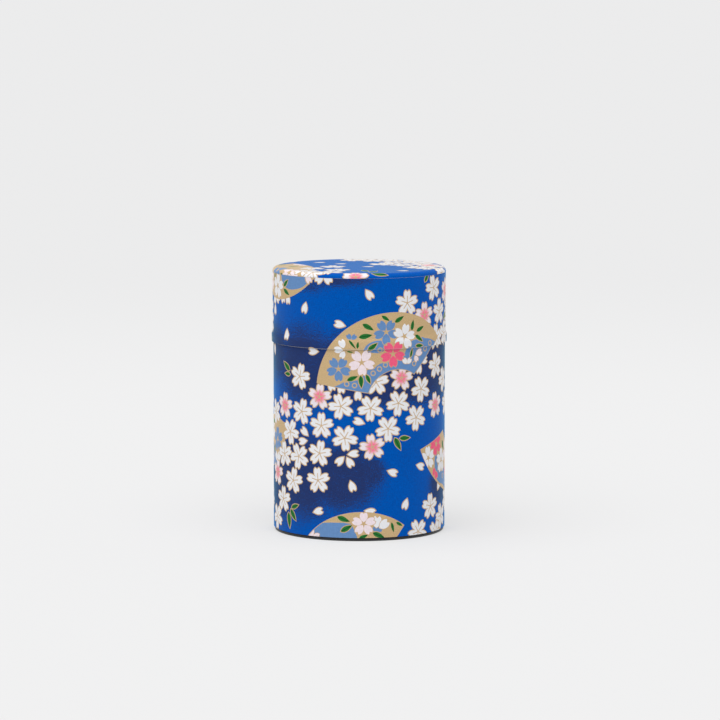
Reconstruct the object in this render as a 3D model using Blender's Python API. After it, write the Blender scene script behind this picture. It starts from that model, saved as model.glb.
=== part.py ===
"""A round slip-lid spice tin covered in printed washi paper, with an inner lid under its outer lid.

The tin stands on its base with +Z up, and the origin is the middle of the base at table level.
Each piece is a shell turned about the Z axis. Profiles are (radius, height) points in millimetres.
"""

import math

import bmesh
import bpy

MM = 0.001

# Driving dimensions
TIN_HEIGHT = 117.0
BODY_RADIUS = 38.0
LID_RADIUS = 38.35
LID_HEIGHT = 33.0
SHEET = 0.25
PAPER = 0.2
GLUE = 0.1
GAP = 0.3

# Body: the wall tube, its paper and the base under them
WALL_OUTER = BODY_RADIUS - PAPER - GLUE
WALL_INNER = WALL_OUTER - SHEET
RIM_HEIGHT = 1.2
RIM_RADIUS = BODY_RADIUS - 0.55
RIM_WIDTH = 1.0
RIM_CORNER = 0.25
PANEL_HEIGHT = 3.3
PANEL_CORNER = 0.8
PANEL_STEP = 0.6
PANEL_STEP_RADIUS = 26.5
WALL_BOTTOM = RIM_HEIGHT + GAP
LID_BOTTOM = TIN_HEIGHT - LID_HEIGHT
BODY_TOP = LID_BOTTOM - GAP

# Neck collar: it plugs into the wall, steps out above it and curls in at the mouth
COLLAR_OUTER = WALL_INNER - GAP
COLLAR_DEPTH = 22.0
STEP_START = 0.4
STEP_END = 1.2
NECK_OUTER = 37.5
NECK_TOP = 107.5
CURL = 0.7

# Outer lid: a hemmed wall with a plugged-in top plate
LID_WALL_OUTER = LID_RADIUS - PAPER - GLUE
LID_WALL_INNER = LID_WALL_OUTER - SHEET
HEM_HEIGHT = 5.0
HEM_BULGE = 0.4
HEM_SLOPE = 1.6
HEM_EDGE = 0.15
HEM_EDGE_HEIGHT = 0.6
SHOULDER = 2.1
SHOULDER_STEPS = 4
SHOULDER_Z = TIN_HEIGHT - SHOULDER
LID_WALL_TOP = SHOULDER_Z - 1.0
PLATE_TOP = TIN_HEIGHT - PAPER - GLUE
PLATE_STEP = 0.55
PLATE_SKIRT = 4.4
PAPER_JOINT = 0.1

# Inner lid: a flanged pan that drops into the mouth
FLANGE_RADIUS = 37.1
FLANGE_Z = NECK_TOP + GAP
FLANGE_LIP = 0.5
PAN_RADIUS = NECK_OUTER - 2 * CURL - GAP
PAN_DEPTH = 9.3
PAN_FLOOR = FLANGE_Z + SHEET - PAN_DEPTH
PAN_CORNER = 1.5
PAN_RING = 0.6
PAN_RING_RADII = (22.0, 28.0)

# Knob: a cup on the pan, a domed cap over the cup's rim, and a rivet with its washer
RIVET_SHANK = 1.5
RIVET_HOLE = RIVET_SHANK + GAP
RIVET_HEAD = 3.1
RIVET_TAIL = 2.6
WASHER_RADIUS = 4.5
WASHER_THICKNESS = 0.4
CUP_RADIUS = 4.6
CUP_CORNER = 0.6
CUP_HEIGHT = 4.2
CUP_RIM = 7.3
CAP_RADIUS = 8.6
CAP_LIP = 6.2
CAP_HEIGHT = 4.8
DOME_RISE = 2.7

# Facets of each turned shape
SHELL_FACETS = 48
KNOB_FACETS = 24
SHARP_ANGLE = 35

# Colours as (red, green, blue), then roughness and metallic
FINISHES = {
    "tinplate": ((0.72, 0.72, 0.70), 0.28, 1.0),
    "black_lacquer": ((0.02, 0.02, 0.022), 0.4, 0.0),
    "body_washi": ((0.02, 0.10, 0.42), 0.8, 0.0),
    "lid_washi": ((0.02, 0.10, 0.42), 0.8, 0.0),
    "polished_tin": ((0.80, 0.80, 0.79), 0.16, 1.0),
}


def arc(centre_r, centre_z, radius, start, end, steps=3):
    """Points along an arc, its angles in degrees from +R towards +Z, both ends included."""
    points = []
    for i in range(steps + 1):
        angle = math.radians(start + (end - start) * i / steps)
        points.append((centre_r + radius * math.cos(angle), centre_z + radius * math.sin(angle)))
    return points


def sheet(path, thickness=SHEET):
    """The closed outline of a sheet that follows a path down its middle."""
    left = []
    right = []
    for i, (r, z) in enumerate(path):
        before = path[max(i - 1, 0)]
        after = path[min(i + 1, len(path) - 1)]
        normals = []
        for (r0, z0), (r1, z1) in ((before, (r, z)), ((r, z), after)):
            length = math.hypot(r1 - r0, z1 - z0)
            if length > 0:
                normals.append(((z0 - z1) / length, (r1 - r0) / length))
        normal_r = sum(n[0] for n in normals)
        normal_z = sum(n[1] for n in normals)
        mitre = thickness * len(normals) / 2 / (normal_r**2 + normal_z**2)
        left.append((r + normal_r * mitre, z + normal_z * mitre))
        right.append((r - normal_r * mitre, z - normal_z * mitre))
    return left + right[::-1]


def material(slot):
    """One Principled material for each finish, made once and shared."""
    found = bpy.data.materials.get(slot)
    if found:
        return found
    colour, roughness, metallic = FINISHES[slot]
    made = bpy.data.materials.new(slot)
    made.use_nodes = True
    made.diffuse_color = (*colour, 1.0)
    shader = made.node_tree.nodes["Principled BSDF"]
    shader.inputs["Base Color"].default_value = (*colour, 1.0)
    shader.inputs["Roughness"].default_value = roughness
    shader.inputs["Metallic"].default_value = metallic
    return made


def turned(name, outline, slot, parent, facets=SHELL_FACETS):
    """A solid of revolution about Z from a closed outline, as one named object."""
    shape = bmesh.new()
    verts = [shape.verts.new((r * MM, 0.0, z * MM)) for r, z in outline]
    edges = []
    for i, vert in enumerate(verts):
        after = verts[(i + 1) % len(verts)]
        if vert.co.x > 0 or after.co.x > 0:
            edges.append(shape.edges.new((vert, after)))
    bmesh.ops.spin(
        shape,
        geom=verts + edges,
        cent=(0.0, 0.0, 0.0),
        axis=(0.0, 0.0, 1.0),
        angle=2 * math.pi,
        steps=facets,
        use_merge=True,
        use_duplicate=False,
    )
    bmesh.ops.remove_doubles(shape, verts=shape.verts, dist=1e-6)
    bmesh.ops.recalc_face_normals(shape, faces=shape.faces)
    mesh = bpy.data.meshes.new(name)
    shape.to_mesh(mesh)
    shape.free()
    mesh.materials.append(material(slot))
    mesh.shade_smooth()
    mesh.set_sharp_from_angle(angle=math.radians(SHARP_ANGLE))
    made = bpy.data.objects.new(name, mesh)
    made.parent = parent
    bpy.context.scene.collection.objects.link(made)
    return made


def group(name):
    """An empty on the tin's axis that carries one group of pieces."""
    made = bpy.data.objects.new(name, None)
    bpy.context.scene.collection.objects.link(made)
    return made


def make_base_plate(parent):
    """Black-lacquered end: a rolled rim to stand on, a chuck wall inside the body and a stepped panel."""
    inner = RIM_RADIUS - RIM_WIDTH
    rolled = RIM_HEIGHT - RIM_CORNER
    top = PANEL_HEIGHT + SHEET
    outline = [(0.0, PANEL_HEIGHT + PANEL_STEP)]
    outline += [(PANEL_STEP_RADIUS, PANEL_HEIGHT + PANEL_STEP)]
    outline += [(PANEL_STEP_RADIUS + PANEL_STEP, PANEL_HEIGHT)]
    outline += arc(inner - PANEL_CORNER, PANEL_HEIGHT - PANEL_CORNER, PANEL_CORNER, 90, 0)
    outline += arc(inner + RIM_CORNER, RIM_CORNER, RIM_CORNER, 180, 270)
    outline += arc(RIM_RADIUS - RIM_CORNER, RIM_CORNER, RIM_CORNER, 270, 360)
    outline += arc(RIM_RADIUS - RIM_CORNER, rolled, RIM_CORNER, 0, 90)
    outline += [(COLLAR_OUTER, RIM_HEIGHT)]
    outline += arc(COLLAR_OUTER - PANEL_CORNER, top - PANEL_CORNER, PANEL_CORNER, 0, 90)
    outline += [(PANEL_STEP_RADIUS + PANEL_STEP, top)]
    outline += [(PANEL_STEP_RADIUS, top + PANEL_STEP)]
    outline += [(0.0, top + PANEL_STEP)]
    turned("base_plate", outline, "black_lacquer", parent)


def make_body_wall(parent):
    """Rolled tinplate tube, plain from end to end."""
    middle = WALL_OUTER - SHEET / 2
    path = [(middle, WALL_BOTTOM), (middle, BODY_TOP)]
    turned("body_wall", sheet(path), "tinplate", parent)


def make_neck_collar(parent):
    """Inner sleeve: plain inside the body, joggled out above it, with its mouth curled inwards."""
    lower = COLLAR_OUTER - SHEET / 2
    upper = NECK_OUTER - SHEET / 2
    curl_r = NECK_OUTER - CURL
    curl_z = NECK_TOP - CURL
    path = [(lower, BODY_TOP - COLLAR_DEPTH), (lower, BODY_TOP + STEP_START)]
    path += [(upper, BODY_TOP + STEP_END), (upper, curl_z)]
    path += arc(curl_r, curl_z, CURL - SHEET / 2, 0, 270, 7)[1:]
    turned("neck_collar", sheet(path), "tinplate", parent)


def make_body_paper(parent):
    """Printed washi glued round the body wall."""
    outline = [(BODY_RADIUS - PAPER, WALL_BOTTOM), (BODY_RADIUS, WALL_BOTTOM)]
    outline += [(BODY_RADIUS, BODY_TOP), (BODY_RADIUS - PAPER, BODY_TOP)]
    turned("body_paper", outline, "body_washi", parent)


def hem_path(radius, bottom):
    """Up the lid's side from its lower edge: bulged over the folded hem, then straight."""
    hem_top = LID_BOTTOM + HEM_HEIGHT
    path = [(radius + HEM_BULGE - HEM_EDGE, bottom)]
    path += [(radius + HEM_BULGE, bottom + HEM_EDGE_HEIGHT)]
    path += [(radius + HEM_BULGE, hem_top - HEM_SLOPE)]
    path += [(radius + HEM_BULGE / 2, hem_top - HEM_SLOPE / 2)]
    path += [(radius, hem_top)]
    return path


def make_lid_wall(parent):
    """Rolled lid wall: its lower edge is folded inwards into a hem, which pushes the outside out."""
    outline = hem_path(LID_WALL_OUTER, LID_BOTTOM)
    outline += [(LID_WALL_OUTER, LID_WALL_TOP), (LID_WALL_INNER, LID_WALL_TOP)]
    outline += [(LID_WALL_INNER, LID_BOTTOM)]
    turned("lid_wall", outline, "tinplate", parent)


def make_lid_top_plate(parent):
    """Pressed top: flat, with a round shoulder and a skirt that plugs into the lid wall."""
    corner = SHOULDER - PAPER - GLUE - SHEET / 2
    flat = LID_RADIUS - SHOULDER
    skirt = LID_WALL_INNER - GAP - SHEET / 2
    path = [(0.0, PLATE_TOP - SHEET / 2)]
    path += arc(flat, SHOULDER_Z, corner, 90, 0, SHOULDER_STEPS)
    path += [(skirt, SHOULDER_Z - PLATE_STEP), (skirt, SHOULDER_Z - PLATE_SKIRT)]
    turned("lid_top_plate", sheet(path), "tinplate", parent)


def make_lid_side_paper(parent):
    """Washi strip round the lid, over the hem's bulge and up to the shoulder."""
    bottom = LID_BOTTOM + GLUE
    top = SHOULDER_Z - PAPER_JOINT / 2
    outer = hem_path(LID_RADIUS, bottom) + [(LID_RADIUS, top)]
    inner = hem_path(LID_RADIUS - PAPER, bottom) + [(LID_RADIUS - PAPER, top)]
    turned("lid_side_paper", outer + inner[::-1], "lid_washi", parent)


def make_lid_top_paper(parent):
    """Washi disc over the lid's top, turned down over the shoulder."""
    flat = LID_RADIUS - SHOULDER
    middle = SHOULDER - PAPER / 2
    path = [(0.0, TIN_HEIGHT - PAPER / 2)]
    path += arc(flat, SHOULDER_Z, middle, 90, 0, SHOULDER_STEPS)[:-1]
    path += [(flat + middle, SHOULDER_Z + PAPER_JOINT / 2)]
    turned("lid_top_paper", sheet(path, PAPER), "lid_washi", parent)


def make_inner_lid_pan(parent):
    """Pressed pan: its flange rests on the mouth's curl, and its skirt and ringed floor drop inside."""
    side = PAN_RADIUS - SHEET / 2
    floor = PAN_FLOOR + SHEET / 2
    flange = FLANGE_Z + SHEET / 2
    edge = FLANGE_RADIUS - SHEET / 2
    ring_start, ring_end = PAN_RING_RADII
    path = [(RIVET_HOLE, floor), (ring_start, floor)]
    path += [(ring_start + PAN_RING, floor + PAN_RING), (ring_end - PAN_RING, floor + PAN_RING)]
    path += [(ring_end, floor)]
    path += arc(side - PAN_CORNER, floor + PAN_CORNER, PAN_CORNER, 270, 360)
    path += arc(side + FLANGE_LIP, flange - FLANGE_LIP, FLANGE_LIP, 180, 90, 2)
    path += [(edge, flange), (edge, flange + FLANGE_LIP)]
    turned("inner_lid_pan", sheet(path), "tinplate", parent)


def make_knob_base(parent):
    """Cup riveted to the pan, flared at its rim."""
    floor = PAN_FLOOR + SHEET + GAP + SHEET / 2
    rim = floor + CUP_HEIGHT
    path = [(RIVET_HOLE, floor)]
    path += arc(CUP_RADIUS - CUP_CORNER, floor + CUP_CORNER, CUP_CORNER, 270, 360, 2)
    path += [(CUP_RADIUS, rim - CUP_CORNER), (CUP_RADIUS + CUP_CORNER, rim), (CUP_RIM, rim)]
    turned("knob_base", sheet(path), "polished_tin", parent, KNOB_FACETS)


def make_knob_cap(parent):
    """Domed cap, its edge turned in under the cup's rim."""
    edge = CAP_RADIUS - SHEET / 2
    lip = PAN_FLOOR + SHEET / 2 + CUP_HEIGHT
    dome = lip + CAP_HEIGHT
    radius = (edge**2 + DOME_RISE**2) / (2 * DOME_RISE)
    half_angle = math.degrees(math.asin(edge / radius))
    path = arc(0.0, dome - radius, radius, 90, 90 - half_angle, 5)
    path += [(edge, lip + CUP_CORNER), (edge - CUP_CORNER, lip), (CAP_LIP, lip)]
    turned("knob_cap", sheet(path), "polished_tin", parent, KNOB_FACETS)


def make_rivet_washer(parent):
    """Flat washer under the pan."""
    top = PAN_FLOOR - GAP
    bottom = top - WASHER_THICKNESS
    outline = [(RIVET_HOLE, bottom), (WASHER_RADIUS, bottom)]
    outline += [(WASHER_RADIUS, top), (RIVET_HOLE, top)]
    turned("rivet_washer", outline, "tinplate", parent, KNOB_FACETS)


def make_knob_rivet(parent):
    """Rivet through the cup, the pan and the washer, with a round head at each end."""
    head = PAN_FLOOR + 2 * (SHEET + GAP)
    tail = PAN_FLOOR - 2 * GAP - WASHER_THICKNESS
    outline = [(0.0, tail - 0.9), (RIVET_TAIL - 1.0, tail - 0.8), (RIVET_TAIL, tail - 0.3)]
    outline += [(RIVET_TAIL, tail), (RIVET_SHANK, tail), (RIVET_SHANK, head)]
    outline += [(RIVET_HEAD, head), (RIVET_HEAD - 0.2, head + 0.5)]
    outline += [(RIVET_HEAD - 1.4, head + 1.0), (0.0, head + 1.2)]
    turned("knob_rivet", outline, "polished_tin", parent, KNOB_FACETS)


def main():
    for obj in list(bpy.data.objects):
        bpy.data.objects.remove(obj)
    body = group("body")
    lid = group("lid")
    inner_lid = group("inner_lid")
    lid.parent = body
    inner_lid.parent = body
    make_base_plate(body)
    make_body_wall(body)
    make_neck_collar(body)
    make_body_paper(body)
    make_lid_wall(lid)
    make_lid_top_plate(lid)
    make_lid_side_paper(lid)
    make_lid_top_paper(lid)
    make_inner_lid_pan(inner_lid)
    make_knob_base(inner_lid)
    make_knob_cap(inner_lid)
    make_rivet_washer(inner_lid)
    make_knob_rivet(inner_lid)


main()
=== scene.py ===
"""The looks of a washi-covered spice tin.

The print is drawn flat, in millimetres on the unrolled paper: u runs round the tin from its front
towards the right, and v is the height above the table. Each sheet is then cut along every outline,
coloured in painter's order and wrapped round the tin.
"""

import math
from collections import namedtuple

import bpy
import numpy as np
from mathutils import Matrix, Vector
from mathutils.geometry import delaunay_2d_cdt


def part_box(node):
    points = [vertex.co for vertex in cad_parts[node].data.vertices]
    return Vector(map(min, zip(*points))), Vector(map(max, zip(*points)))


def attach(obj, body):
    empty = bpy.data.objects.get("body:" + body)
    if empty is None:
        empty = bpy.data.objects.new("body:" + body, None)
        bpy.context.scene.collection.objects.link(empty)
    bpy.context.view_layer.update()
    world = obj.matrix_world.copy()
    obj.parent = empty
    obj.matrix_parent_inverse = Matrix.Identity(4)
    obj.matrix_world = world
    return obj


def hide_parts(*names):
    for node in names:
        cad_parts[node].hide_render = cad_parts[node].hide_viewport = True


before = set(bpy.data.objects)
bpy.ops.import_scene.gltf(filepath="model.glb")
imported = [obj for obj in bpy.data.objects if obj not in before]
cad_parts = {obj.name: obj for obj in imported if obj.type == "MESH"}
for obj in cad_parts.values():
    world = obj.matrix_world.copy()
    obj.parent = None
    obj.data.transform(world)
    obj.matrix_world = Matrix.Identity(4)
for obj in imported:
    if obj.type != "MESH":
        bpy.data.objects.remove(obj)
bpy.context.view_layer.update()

MM = 0.001


def box_mm(node):
    """Outer radius, lowest and highest point of a CAD node, in millimetres."""
    low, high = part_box(node)
    return high.x / MM, low.z / MM, high.z / MM


# Sizes read from the frame
BODY_R, BODY_LOW, BODY_HIGH = box_mm("body_paper")
HEM_R, LID_LOW, LID_HIGH = box_mm("lid_side_paper")
LID_R, TOP_LOW, TOP_HIGH = box_mm("lid_top_paper")
SHOULDER = TOP_HIGH - TOP_LOW
CIRCUMFERENCE = 2 * math.pi * BODY_R

# Thicknesses, the gaps between pieces, and how far the body's paper reaches up into the seam
SHEET = 0.25
PAPER = 0.2
GLUE = 0.1
GAP = 0.3
PAPER_JOINT = 0.1
TUCK = 0.2

# The lid's hem: how far and how high up the paper turns in at its edge, and where its bulge fades
HEM_EDGE = 0.03
HEM_EDGE_HEIGHT = 0.7
HEM_RISE = (2.9, 5.2)

# The paper's lap at the back: its width, its step and how wide the step's slope is
OVERLAP = 5.5
OVERLAP_STEP = 0.12
OVERLAP_RAMP = 1.5

# The metal's curl at the neck, the width of its lapped seam and the hole for the knob's rivet
CURL = 0.7
SEAM_WIDTH = 3.2
RIVET_HOLE = 1.8

# How finely the paper and the metal are divided round the tin, and the paper up it
STRIPS = 144
METAL_FACETS = 192
KNOB_FACETS = 96
LEVEL_STEP = 3.0

# The print: its gold edges and how far their corners may reach, its petals, a stamen's length to
# its petal's and its width at both ends, and the repeat round the tin
LINE = 0.4
LEAF_LINE = 0.34
FAN_LINE = 0.28
HEART_LINE = 0.24
MITRE_LIMIT = 1.6
BLOSSOM = 5.5
LOOSE_PETAL = 4.6
STAMEN = 0.57
STAMEN_WIDTHS = (0.46, 0.34)
REPEAT = 116.0
SHIFTS = (-REPEAT, 0.0, REPEAT)


# ---- Outlines ----


def bezier(start, first, second, end, steps):
    """Points along a cubic curve, without its start."""
    points = []
    for i in range(1, steps + 1):
        t = i / steps
        weights = ((1 - t) ** 3, 3 * t * (1 - t) ** 2, 3 * t * t * (1 - t), t**3)
        corners = (start, first, second, end)
        points.append(tuple(sum(w * p[k] for w, p in zip(weights, corners)) for k in (0, 1)))
    return points


def mirrored(half):
    """A closed outline from its upper half, which runs along +x and may end on the axis."""
    lower = [(x, -y) for x, y in reversed(half) if y > 1e-6]
    return np.array(half + lower)


def petal_outline(root, shoulder, width, notch):
    """A blossom's petal of length 1 along +x, from its root, with a notched tip."""
    half = [(root, 0.0), (root + 0.02, 0.03)]
    half += bezier(half[-1], (root + 0.14, shoulder), (0.38, width), (0.64, width), 5)
    half += bezier(half[-1], (0.82, width), (0.94, 0.27), (1.0, 0.16), 4)
    half += bezier(half[-1], (0.96, 0.11), (0.91, 0.05), (notch, 0.0), 2)
    return mirrored(half)


def loose_petal_outline():
    """A fallen petal of length 1 along +x: pointed, full in the middle and notched."""
    half = [(0.0, 0.0)]
    half += bezier(half[-1], (0.16, 0.12), (0.36, 0.3), (0.62, 0.315), 5)
    half += bezier(half[-1], (0.82, 0.315), (0.95, 0.28), (1.0, 0.18), 4)
    half += bezier(half[-1], (0.94, 0.12), (0.86, 0.05), (0.8, 0.0), 2)
    return mirrored(half)


def leaf_outline():
    """A pointed leaf of length 1 along +x."""
    start = (0.0, 0.0)
    return mirrored([start] + bezier(start, (0.15, 0.2), (0.45, 0.3), (1.0, 0.0), 8))


PETAL = petal_outline(root=0.0, shoulder=0.13, width=0.295, notch=0.87)
HEART = petal_outline(root=0.13, shoulder=0.19, width=0.335, notch=0.85)
LOOSE = loose_petal_outline()
LEAF = leaf_outline()


def away(at, turn, distance):
    """The point at a distance from another, in a direction in degrees."""
    angle = math.radians(turn)
    return at[0] + distance * math.cos(angle), at[1] + distance * math.sin(angle)


def placed(outline, at, turn, size):
    """An outline scaled, turned by degrees and moved to its place."""
    c, s = math.cos(math.radians(turn)), math.sin(math.radians(turn))
    return outline * size @ np.array(((c, s), (-s, c))) + np.array(at)


def doubled_area(points):
    """Twice the area inside a closed outline, positive if it runs anticlockwise."""
    x, y = points[:, 0], points[:, 1]
    return np.sum(x * np.roll(y, -1) - y * np.roll(x, -1))


def grown(points, distance):
    """A closed outline moved outwards by a distance, or inwards if it is negative."""
    before = points - np.roll(points, 1, axis=0)
    after = np.roll(points, -1, axis=0) - points
    before /= np.linalg.norm(before, axis=1)[:, None] + 1e-9
    after /= np.linalg.norm(after, axis=1)[:, None] + 1e-9
    side = math.copysign(1.0, doubled_area(points))
    normals = np.stack((before[:, 1] + after[:, 1], -before[:, 0] - after[:, 0]), axis=1) * side
    length = np.linalg.norm(normals, axis=1)[:, None]
    mitre = np.minimum(2.0 / (length + 1e-9), MITRE_LIMIT)
    return points + normals / (length + 1e-9) * mitre * distance


def ring_points(at, radius, count, start=0.0, end=360.0, closed=True):
    """Points on a circle or an arc, its angles in degrees."""
    steps = count if closed else count - 1
    angles = np.radians(start + (end - start) * np.arange(count) / steps)
    return np.stack((at[0] + radius * np.cos(angles), at[1] + radius * np.sin(angles)), axis=1)


def inside(points, outline):
    """Which points lie inside a closed outline."""
    x, y = points[:, 0], points[:, 1]
    result = np.zeros(len(points), bool)
    x0, y0 = outline[-1]
    for x1, y1 in outline:
        crosses = (y1 > y) != (y0 > y)
        if y1 != y0:
            result ^= crosses & (x < (x0 - x1) * (y - y1) / (y0 - y1) + x1)
        x0, y0 = x1, y1
    return result


# ---- The print ----


# An inked outline: its motif's place, turn and size, and the outline that it is kept within
Shape = namedtuple("Shape", "points ink at turn size within")


class Print:
    """A flat design: outlines in painter's order, each with its ink and its own axes."""

    def __init__(self):
        self.shapes = []

    def add(self, points, ink, at=(0.0, 0.0), turn=0.0, size=1.0, within=None):
        self.shapes.append(Shape(np.asarray(points, float), ink, at, turn, size, within))

    def stamen(self, start, end):
        """A straight gold stroke that tapers."""
        start, end = np.array(start), np.array(end)
        along = (end - start) / np.linalg.norm(end - start)
        across = np.array((-along[1], along[0]))
        half, end_half = (across * width / 2 for width in STAMEN_WIDTHS)
        self.add((start - half, end - end_half, end + end_half, start + half), "stroke")

    def petals(self, outline, at, turn, size, ink, line, within=None, count=5):
        """Petals round a centre, edged in gold."""
        shapes = [placed(outline, at, turn + 72 * k, size) for k in range(count)]
        for shape in shapes:
            self.add(grown(shape, line), "line", within=within)
        for k, shape in enumerate(shapes):
            self.add(shape, ink, at, turn + 72 * k, size, within)

    def blossom(self, u, v, turn, ink="white"):
        """A five-petalled blossom with gold stamens."""
        self.petals(PETAL, (u, v), turn, BLOSSOM, ink, LINE)
        for k in range(5):
            self.stamen((u, v), away((u, v), turn + 72 * k, STAMEN * BLOSSOM))

    def loose_petal(self, u, v, turn, ink="white"):
        """A fallen petal, its middle at u, v and its notch towards the turn."""
        at = away((u, v), turn, -LOOSE_PETAL / 2)
        shape = placed(LOOSE, at, turn, LOOSE_PETAL)
        self.add(grown(shape, LINE), "line")
        self.add(shape, ink, at, turn, LOOSE_PETAL)

    def leaf(self, u, v, turn, length, edged=True, within=None, breadth=1.0):
        """A leaf, its middle at u, v, edged in gold on the coloured ground."""
        at = away((u, v), turn, -length / 2)
        shape = placed(LEAF * (1.0, breadth), at, turn, length)
        if edged:
            self.add(grown(shape, LEAF_LINE), "line", within=within)
        self.add(shape, "green", at, turn, length, within)

    def ringlet(self, u, v, within):
        """A small gold ring of the fans' cloud pattern."""
        for radius, ink in ((1.25, "line"), (0.78, "lavender")):
            self.add(ring_points((u, v), radius, 8, 22, 382), ink, within=within)

    def fan(self, at, outer, start, end, hollow_at, inner, hollow_start, hollow_end):
        """The gold leaf of a folding fan, between its rim and its hollow; returns its outline."""
        rim = ring_points(at, outer, 40, start, end, closed=False)
        hollow = ring_points(hollow_at, inner, 16, hollow_end, hollow_start, closed=False)
        outline = np.concatenate((rim, hollow))
        self.add(grown(outline, FAN_LINE), "line")
        self.add(outline, "tan")
        return outline

    def cloud(self, points, within, rounding=3):
        """A patch of lavender with a soft outline, edged in gold and kept within a fan."""
        outline = np.array(points, float)
        for _ in range(rounding):
            after = np.roll(outline, -1, axis=0)
            pairs = np.stack((outline * 0.75 + after * 0.25, outline * 0.25 + after * 0.75), axis=1)
            outline = pairs.reshape(-1, 2)
        self.add(grown(outline, FAN_LINE), "line", within=within)
        self.add(outline, "lavender", within=within)


def moved(at, points):
    """Points given from a fan's own origin, moved to their place."""
    return [(at[0] + x, at[1] + y) for x, y in points]


def leaves(sheet, at, places, within, edged=False, breadth=1.0):
    """Leaves given by their middle, turn and length."""
    for x, y, turn, length in places:
        sheet.leaf(at[0] + x, at[1] + y, turn, length, edged, within, breadth)


def hearts(sheet, at, places, within):
    """Blossoms of parted petals: their middle, turn, ink, size and number of petals."""
    for x, y, turn, ink, size, count in places:
        sheet.petals(HEART, (at[0] + x, at[1] + y), turn, size, ink, HEART_LINE, within, count)


def rings(sheet, at, places, within):
    """Small gold rings given by their middle."""
    for x, y in places:
        sheet.ringlet(at[0] + x, at[1] + y, within)


def main_fan(sheet, at):
    """The large fan across the lid's seam, with its clouds, blossoms and leaves."""
    fan = sheet.fan((at[0] - 1.1, at[1] + 0.2), 34.6, 41, 173.5, (at[0] + 1, at[1] - 4), 14.2, 54, 163)
    lower = [(-32, 1.5), (-26, 3.1), (-23, 5), (-18, 5.2), (-14.6, 7.4), (-13.2, 10.4), (-10.2, 10.2)]
    lower += [(-9, 11.8), (-6.6, 13.2), (-1.4, 13.2), (1.2, 15.2), (3.6, 15.8), (5, 18), (5.6, 20.4)]
    lower += [(7.6, 22.4), (10, 22.6), (13.6, 23.6), (15, 22.8), (18.4, 22.4), (22.6, 20.6), (30, 19)]
    lower += [(16, 4), (8, 6), (0, 7), (-8, 5), (-12, -3), (-32, -4)]
    sheet.cloud(moved(at, lower), fan, rounding=2)
    middle = [(-15, 18.2), (-13.6, 20.9), (-11.6, 22.2), (-9.6, 22.9), (-6.4, 23), (-5.2, 20.8)]
    middle += [(-6, 17.2), (-12.8, 17.8)]
    sheet.cloud(moved(at, middle), fan, rounding=2)
    rings(sheet, at, [(-21.9, 4), (-18.5, 3.4), (-10.4, 8.7), (-7.6, 10.5), (-4.9, 12.2), (-7.4, 18.8)], fan)
    rings(sheet, at, [(9.4, 12), (16.1, 18), (18.5, 20.4)], fan)
    plain = [(-12.6, 28.8, -30, 5.6), (-13.7, 24.9, 10, 6), (-19.4, 6.5, 22, 5.1), (-4.9, 32.5, -33, 4.2)]
    plain += [(1.5, 31.9, 30, 5.1), (8.2, 29, 80, 4.8), (12.6, 27.1, 24, 4.8), (-17.1, 21.1, 84, 3.1)]
    hearts(sheet, at, [(-4.7, 26.6, 54, "lavender", 5.5, 5), (3.9, 24.3, 6, "white", 5.5, 5)], fan)
    leaves(sheet, at, plain, fan)
    leaves(sheet, at, [(-19.4, 21.3, -52, 4.8), (-20.4, 18, -8, 2.9)], fan, breadth=0.6)
    leaves(sheet, at, [(-10.7, 20.3, 38, 5.2), (11.8, 19.8, -2, 4.2), (11.7, 23.1, -38, 4.9)], fan, True)
    leaves(sheet, at, [(7.9, 16.9, 75, 4)], fan, True, 0.7)
    hearts(sheet, at, [
        (-25.6, 10.5, 56, "lavender", 5.4, 5), (-19.9, 23.1, 50, "lavender", 3.1, 2),
        (-22.8, 19.2, 112, "white", 4.5, 1), (-22.9, 18.9, 180, "white", 4.5, 1),
        (-22.7, 18.7, 243, "white", 3.8, 1), (-1.4, 16.8, 56, "rose", 5.7, 5),
        (-15.4, 13.4, 57, "shell", 5.7, 5), (5.5, 11.9, 52, "white", 3.2, 2),
        (9.8, 15.8, 20, "shell", 4.4, 1), (9.6, 15.8, 300, "shell", 3.3, 1),
    ], fan)
    leaves(sheet, at, [(-15.7, 5, -86, 5.4), (-12.5, 6.1, -65, 4.3)], fan, True)


def low_fan(sheet, at):
    """The fan that the tin's lower edge cuts through."""
    hub = (at[0] + 1, at[1] - 19.8)
    fan = sheet.fan(hub, 32.5, 53.5, 150, hub, 11, 53.5, 150)
    left = [(-34, -2), (-24, 4), (-19.7, 5.2), (-17.7, 7.4), (-14.5, 8), (-4, 8.2), (-2.5, 6), (-0.5, 1)]
    sheet.cloud(moved(at, left + [(0, -4)]), fan, rounding=1)
    sheet.cloud(moved(at, [(5.8, 6.8), (10.4, 6.6), (10, 3.8), (6.2, 4.0)]), fan)
    leaves(sheet, at, [(-6.8, 9.7, -20, 6), (18.3, 7, -30, 3.6)], fan)
    leaves(sheet, at, [(15, 5.7, -77, 4.7)], fan, breadth=0.75)
    leaves(sheet, at, [(-5.5, 5.7, 30, 5.8), (8.6, 2.6, -24, 5.8), (1.9, 2.1, 23, 4.4)], fan, True)
    hearts(sheet, at, [
        (7.4, 5.1, 84, "white", 6.0, 1), (8.3, 5.3, 36, "white", 5.8, 1),
        (2, 7.8, 18, "shell", 5.2, 5), (-22.2, 0.2, 20, "shell", 4.8, 5),
    ], fan)


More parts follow.
